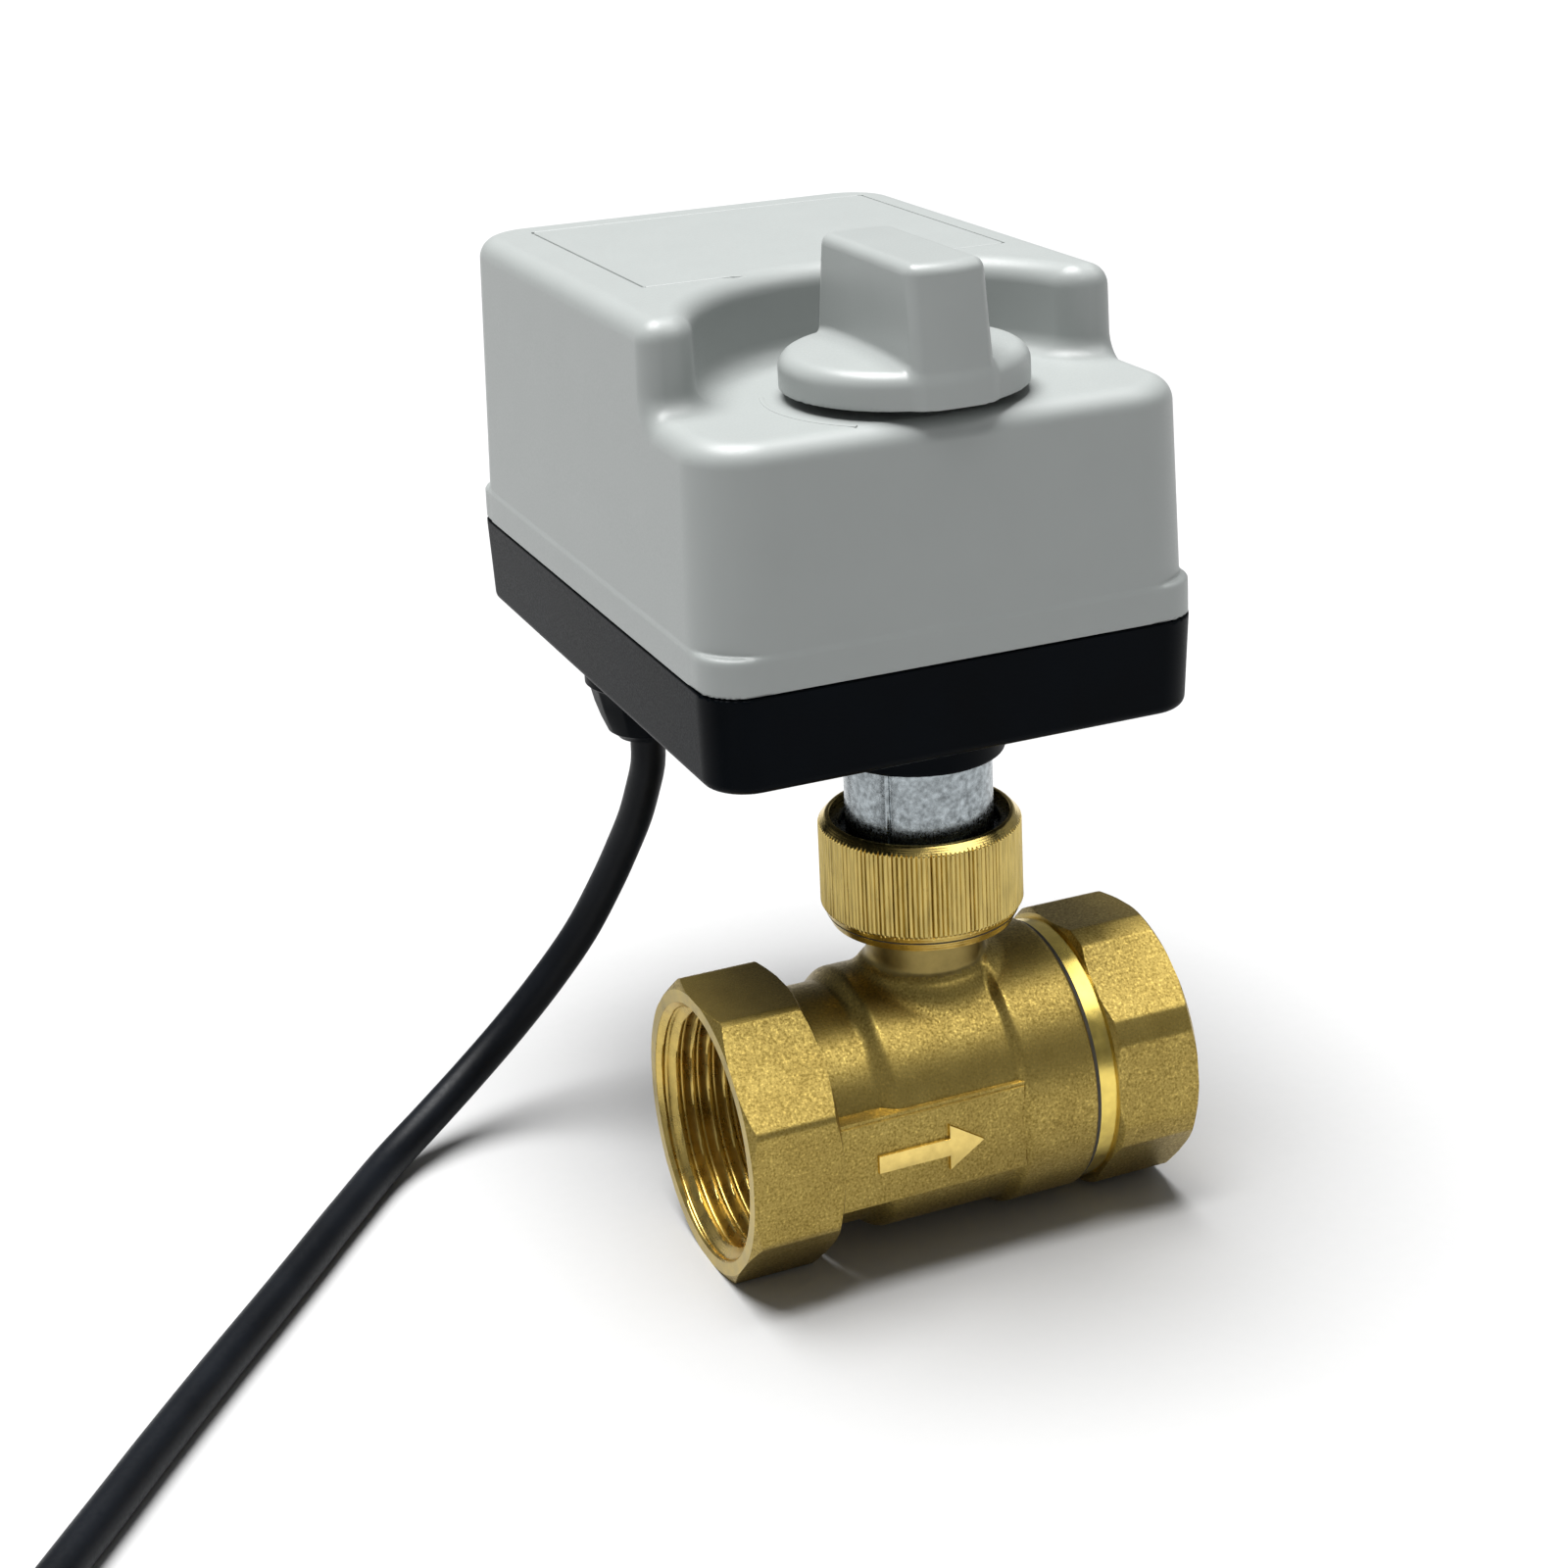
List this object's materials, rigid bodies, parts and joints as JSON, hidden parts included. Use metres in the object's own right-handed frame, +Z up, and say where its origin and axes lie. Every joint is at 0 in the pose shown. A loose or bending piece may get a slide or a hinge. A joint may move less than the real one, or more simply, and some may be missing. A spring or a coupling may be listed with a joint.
{
  "type": "zone valve",
  "caption": "Motorised two-way brass ball valve with octagonal threaded ends, knurled union nut and a boxed actuator with a hand knob and cable.",
  "frame": {"origin": "on the pipe axis, where the inlet thread's wall begins, 1.7 mm inside the inlet face", "axes": "+X along the pipe from inlet to outlet, +Z up along the stem to the knob, +Y towards the housing's overhanging back"},
  "size_m": [0.2295, 0.1552, 0.1324],
  "materials": {
    "forged_brass": "sand-blasted forging",
    "turned_brass": "turned, bright",
    "chromed_brass": "polished",
    "white_seal": "smooth PTFE",
    "black_rubber": "matt",
    "black_steel": "blackened spring steel",
    "zinc_steel": "zinc plated",
    "bronze": "sintered",
    "black_plastic": "moulded, satin",
    "grey_plastic": "moulded, fine texture",
    "knob_plastic": "moulded, smooth satin",
    "gear_plastic": "moulded acetal",
    "cam_plastic": "moulded acetal",
    "circuit_board": "solder mask",
    "green_plastic": "moulded",
    "blue_plastic": "moulded",
    "orange_plastic": "moulded",
    "lead_insulation": "extruded",
    "cable_jacket": "extruded, satin",
    "tie_plastic": "moulded nylon"
  },
  "bodies": {
    "housing": {"valve_body": "forged_brass", "end_cap": "forged_brass", "inlet_seat": "white_seal", "outlet_seat": "white_seal", "body_seal": "white_seal", "coupling_sleeve": "zinc_steel", "swivel_flange": "zinc_steel", "sleeve_screws": "zinc_steel", "lower_bushing": "bronze", "base_housing": "black_plastic", "chassis_plate": "zinc_steel", "plate_screws": "zinc_steel", "limit_switches": "black_plastic", "switch_levers": "zinc_steel", "motor_can": "zinc_steel", "motor_screws": "zinc_steel", "board_standoffs": "turned_brass", "control_board": "circuit_board", "board_screws": "zinc_steel", "terminal_block": "green_plastic", "relay": "blue_plastic", "capacitor": "orange_plastic", "cover_gasket": "black_rubber", "top_cover": "grey_plastic", "cover_screws": "zinc_steel", "upper_bushing": "bronze", "cable_gland": "black_plastic", "gland_locknut": "black_plastic", "inner_leads": "lead_insulation", "cable": "cable_jacket", "cable_coil": "cable_jacket", "cable_tie": "tie_plastic", "cable_cores": "lead_insulation"},
    "output": {"knob": "knob_plastic", "output_shaft": "zinc_steel", "output_gear": "gear_plastic", "switch_cams": "cam_plastic", "drive_coupler": "zinc_steel", "stem": "turned_brass", "stem_o_rings": "black_rubber", "thrust_washer": "white_seal", "ball": "chromed_brass"},
    "nut": {"union_nut": "turned_brass", "retaining_ring": "black_steel"},
    "pinion": {"motor_pinion": "gear_plastic"}
  },
  "joints": [
    {"name": "output_turn", "type": "hinge", "parent": "housing", "child": "output", "pos_m": [0.0312, 0, 0.06], "axis": [0, 0, 1], "range_deg": [0, 90]},
    {"name": "pinion_turn", "type": "hinge", "parent": "housing", "child": "pinion", "pos_m": [0.0312, 0.035, 0.059], "axis": [0, 0, 1], "range_deg": [-361, 1]},
    {"name": "nut_turn", "type": "hinge", "parent": "housing", "child": "nut", "pos_m": [0.0312, 0, 0.031], "axis": [0, 0, 1], "continuous": true}
  ],
  "couplings": [
    {"joint": "pinion_turn", "follows": "output_turn", "ratio": -4}
  ]
}
